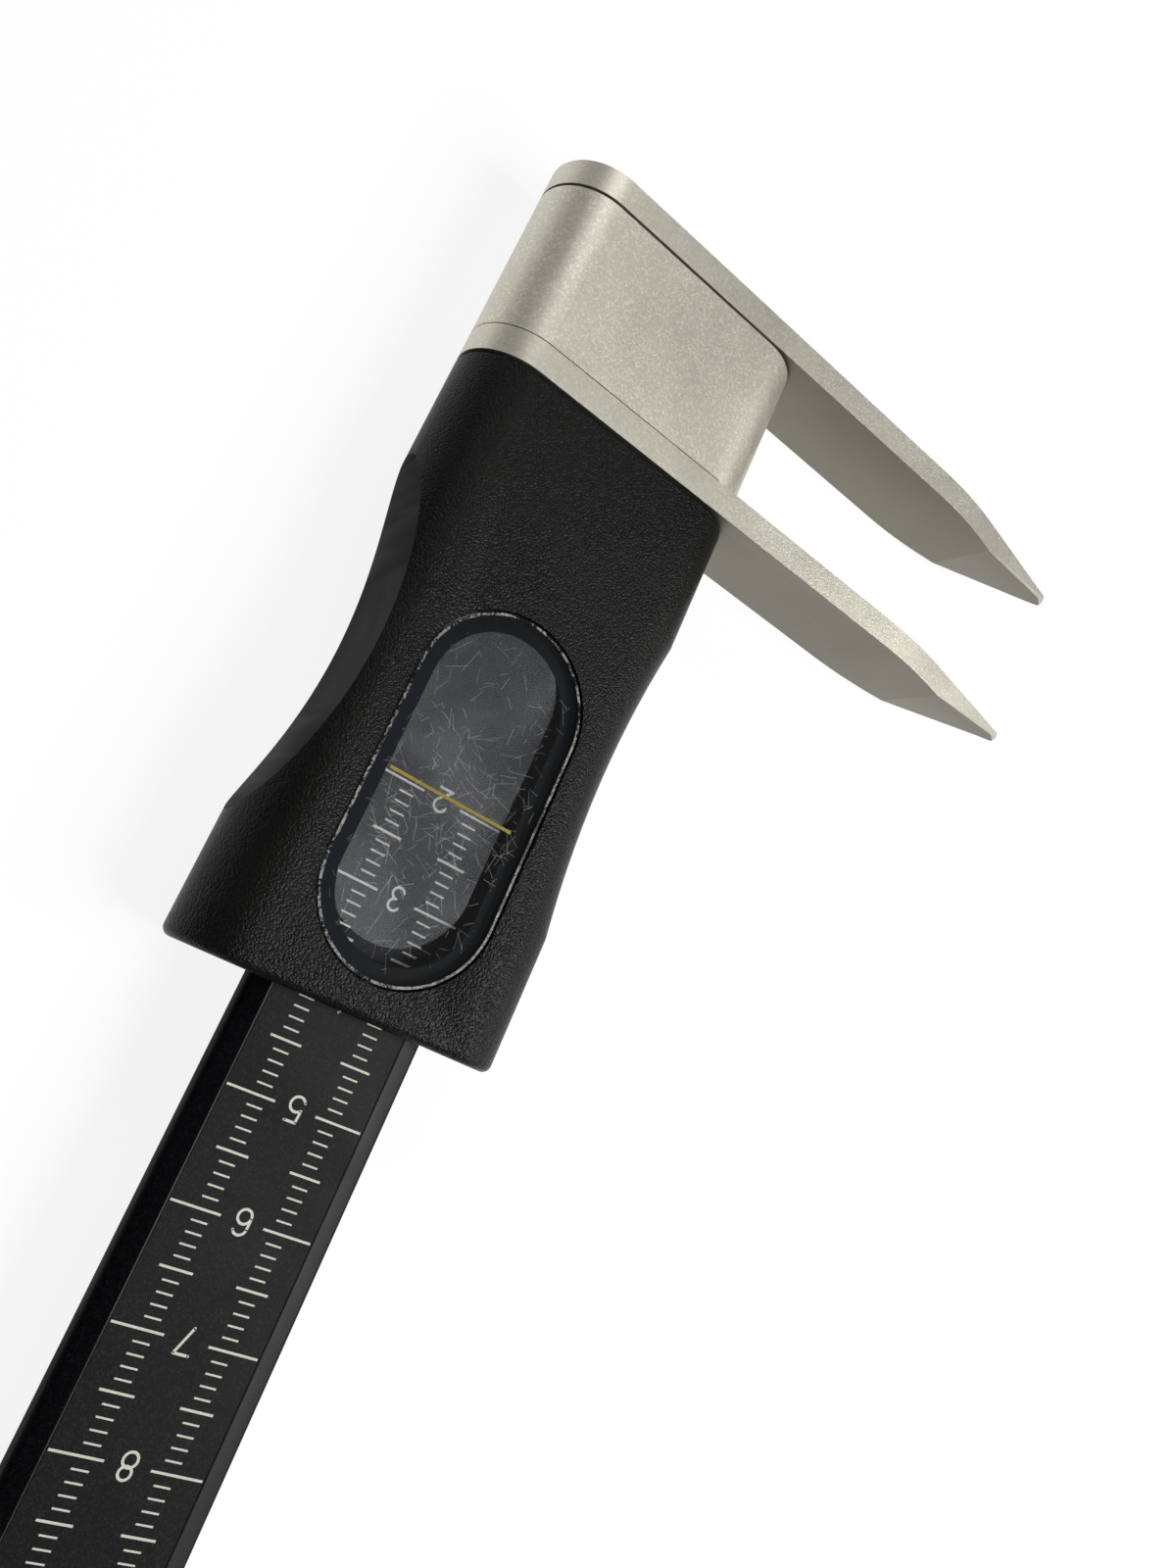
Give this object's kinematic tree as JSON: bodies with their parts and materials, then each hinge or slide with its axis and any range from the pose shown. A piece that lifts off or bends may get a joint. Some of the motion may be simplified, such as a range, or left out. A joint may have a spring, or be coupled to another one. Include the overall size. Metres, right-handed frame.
{
  "type": "knee height caliper",
  "caption": "Sliding caliper with two slim blade jaws, a windowed slider with a hairline and a scaled flat beam, for reading body widths and heights.",
  "frame": {"origin": "zero of the scale: in line with the fixed tip's measuring face, on the beam's centreline, in the back plane that the caliper lies on", "axes": "+X along the beam towards its tail, +Y from the beam towards the jaw tips, +Z out of the scale face"},
  "size_m": [0.2329, 0.0831, 0.012],
  "materials": {
    "anodised_black": "black anodised, fine satin grain",
    "scale_black": "black anodised, fine satin grain, pale marks",
    "scale_ink": "pale paint in the marks and numbers",
    "blasted_silver": "bead-blasted and clear anodised",
    "blade_silver": "bead-blasted and clear anodised",
    "screw_steel": "satin",
    "dowel_steel": "ground",
    "spring_steel": "rolled",
    "cap_plastic": "fine pebble grain",
    "housing_plastic": "pebble grain with a soft sheen",
    "carrier_plastic": "plain moulded",
    "glide_plastic": "self-lubricating plastic",
    "lens_clear": "clear, lightly scratched",
    "gasket_rubber": "matte",
    "hairline_yellow": "printed line",
    "insert_brass": "satin"
  },
  "bodies": {
    "caliper_frame": {"beam": "anodised_black", "scale_strip": "scale_black", "head_block": "blasted_silver", "fixed_jaw": "blade_silver", "fixed_jaw_screws": "screw_steel", "fixed_jaw_dowels": "dowel_steel", "head_screws": "screw_steel", "end_cap": "cap_plastic", "end_cap_screw": "screw_steel"},
    "slider": {"moving_jaw": "blade_silver", "moving_jaw_screws": "screw_steel", "moving_jaw_dowels": "dowel_steel", "carrier": "carrier_plastic", "slider_housing": "housing_plastic", "rear_cover": "housing_plastic", "side_glide_left": "glide_plastic", "side_glide_right": "glide_plastic", "brake_pad": "glide_plastic", "brake_spring": "spring_steel", "window_lens": "lens_clear", "window_gasket": "gasket_rubber", "hairline": "hairline_yellow", "cover_screws": "screw_steel", "threaded_inserts": "insert_brass"}
  },
  "joints": [
    {"name": "slider_travel", "type": "slide", "parent": "caliper_frame", "child": "slider", "axis": [1, 0, 0], "range_m": [0, 0.14]}
  ]
}
